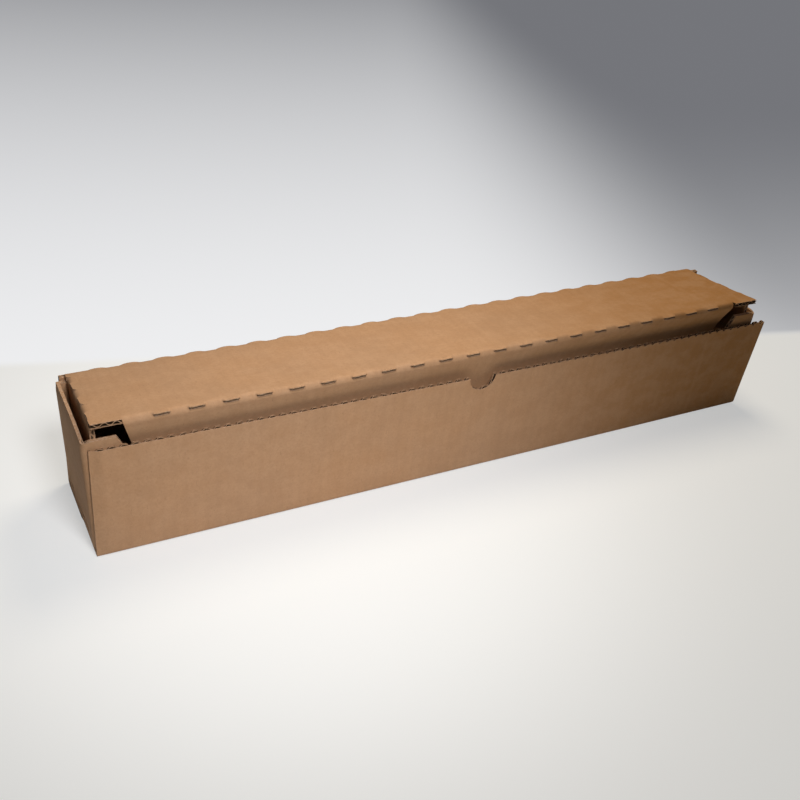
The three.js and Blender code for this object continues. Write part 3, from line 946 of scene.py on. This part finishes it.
def add_ears(skin):
    for side in (0, 1):
        base = LID_RIGHT if side else LID_LEFT
        way = -1 if side else 1
        path, normal = follow([(EAR_LAP, 0.0), (HALF, 0.0), (HALF, -EAR_DROP)], EAR_FOLD, 1.6, 9)
        rows = len(path)
        t = np.linspace(0, 1, 90)
        cols = len(t)
        drop = np.clip(-path[:, 1], 0, EAR_DROP)
        back, front = ear_limits(drop)
        a = back[:, None] + (front - back)[:, None] * t[None, :]
        # under a slit the ear stands in a little, so that the lid's cut edge shows over it
        slit = slit_open(a, EAR_SLIT_START, EAR_SLIT_COUNT)
        sunk = EAR_SUNK * slit * np.exp(-(drop / 4) ** 2)[:, None]
        inward = path[:, 0][:, None] + sunk + end_inset(a, side)
        px = base + way * inward + RACK * drop[:, None]
        pn = path[:, 1][:, None] - sunk
        middle = np.stack([px, a, pn], -1)
        n = np.zeros((rows, cols, 3))
        n[..., 0] = normal[:, 0][:, None] * way
        n[..., 2] = normal[:, 1][:, None]
        if n[0, 0, 2] < 0:
            n = -n
        thick_sheet(skin, middle, n, pn, half=HALF - 0.02, place=settle_lid)


# Hinge crease

def add_straps(skin):
    """Lands of the back crease: short straps from the back wall's outer face to the lid's top."""
    wall = DEPTH / 2 - HALF
    tilt = sum(LID_TILT) / 2
    top = np.array([HINGE_Y, HINGE_Z]) + np.array([-math.cos(tilt), math.sin(tilt)]) * STRAP_OVER
    corners = [(wall, HINGE_Z - STRAP_DOWN), (wall, HINGE_Z + 0.1), tuple(top)]
    path, normal = follow(corners, FOLD_RADIUS, 1.0, 8)
    rows = len(path)
    # the lands swell where the fold is, and run out flat into the wall and the lid
    swell = np.sin(np.pi * np.linspace(0, 1, rows)) ** 0.7
    half_width = SLIT_LENGTH / 2 + STRAP_SPARE
    for k in range(-2, SLIT_COUNT + 2):
        centre = SLIT_START + k * SLIT_PITCH
        lo = max(centre - half_width, LID_LEFT + LEFT_INSET[0] + 0.3)
        hi = min(centre + half_width, LID_RIGHT - RIGHT_INSET[0] - 0.3)
        if hi - lo < 2:
            continue
        x = np.linspace(lo, hi, 15)
        u = (x - centre) / half_width
        from_end = np.minimum(x - LID_LEFT, LID_RIGHT - x) - 3
        arch = (1 - np.clip(np.abs(u), 0, 1) ** 2.5) * smooth(from_end / 8)
        out = (0.35 * arch - 0.75 * (1 - arch))[None, :] * swell[:, None]
        middle = np.zeros((rows, len(x), 3))
        n = np.zeros((rows, len(x), 3))
        n[..., 1] = -normal[:, 0][:, None]
        n[..., 2] = -normal[:, 1][:, None]
        middle[..., 0] = x[None, :]
        middle[..., 1] = path[:, 0][:, None] + n[..., 1] * (out - 0.1)
        middle[..., 2] = path[:, 1][:, None] + n[..., 2] * (out - 0.1) + hinge_lift(x)[None, :]
        middle[..., 1] = np.minimum(middle[..., 1], wall + 0.2)
        thick_sheet(skin, middle, n, x[None, :], half=HALF - 0.3)


# Build the object

board = kraft_board()

tray_skin = Skin()
add_spine(tray_skin)
add_ends(tray_skin)
add_back_edge(tray_skin)
tray_skin.build("tray_board", board, "tray", "tray")

edge_skin = Skin()
add_front_edge(edge_skin)
edge_skin.build("front_wall_edge", board, "tray")

lid_skin = Skin()
add_lid(lid_skin)
add_ears(lid_skin)
lid_skin.build("lid_board", board, "lid", "lid")

strap_skin = Skin()
add_straps(strap_skin)
straps = strap_skin.build("hinge_straps", board, None)
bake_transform(straps)


# Floor, light and camera

def plane(name, corners, material):
    mesh = bpy.data.meshes.new(name)
    mesh.from_pydata(corners, [], [(0, 1, 2, 3)])
    mesh.materials.append(material)
    obj = bpy.data.objects.new(name, mesh)
    bpy.context.scene.collection.objects.link(obj)
    return obj


plane("floor", [(-6, -4, 0), (6, -4, 0), (6, 6, 0), (-6, 6, 0)], pale_floor())


def hang_lamp(name, data, place, target):
    lamp = bpy.data.objects.new(name, data)
    bpy.context.scene.collection.objects.link(lamp)
    lamp.location = place
    lamp.rotation_mode = "QUATERNION"
    lamp.rotation_quaternion = (Vector(target) - Vector(place)).to_track_quat("-Z", "Y")
    return lamp


def area_lamp(name, place, target, size, power, colour):
    data = bpy.data.lights.new(name, "AREA")
    data.shape = "DISK"
    data.size = size
    data.energy = power
    data.color = colour
    return hang_lamp(name, data, place, target)


def spot_lamp(name, place, target, cone, size, power, colour):
    data = bpy.data.lights.new(name, "SPOT")
    data.spot_size = math.radians(cone)
    data.spot_blend = 1.0
    data.shadow_soft_size = size
    data.energy = power
    data.color = colour
    return hang_lamp(name, data, place, target)


area_lamp("top", (0.14, 0.20, 0.66), (0.08, 0.0, 0.08), 0.30, 2.4, (1.0, 0.88, 0.68))
spot_lamp("front", (-0.18, -0.42, 0.62), (-0.128, 0.0, 0.05), 52, 0.10, 16.2, (0.95, 0.95, 0.96))

world = bpy.data.worlds.new("room")
bpy.context.scene.world = world
world.use_nodes = True
world.node_tree.nodes.clear()
g = Graph(world.node_tree)
sky = g.node("ShaderNodeBackground")
sky.inputs["Color"].default_value = (0.88, 0.94, 1.0, 1)
sky.inputs["Strength"].default_value = 0.07
out = g.node("ShaderNodeOutputWorld")
g.link(sky.outputs[0], out.inputs[0])

CAMERA_PLACE = (-0.33083, -0.49107, 0.43783)
CAMERA_TURN = (0.8665541, 0.4386648, -0.1530103, -0.1823323)
CAMERA_LENS = 46.2286
camera_data = bpy.data.cameras.new("camera")
camera_data.lens = CAMERA_LENS
camera_data.sensor_width = 36.0
camera_data.clip_start = 0.01
camera = bpy.data.objects.new("camera", camera_data)
bpy.context.scene.collection.objects.link(camera)
camera.location = CAMERA_PLACE
camera.rotation_mode = "QUATERNION"
camera.rotation_quaternion = CAMERA_TURN
bpy.context.scene.camera = camera

bpy.context.scene.view_settings.view_transform = "Standard"
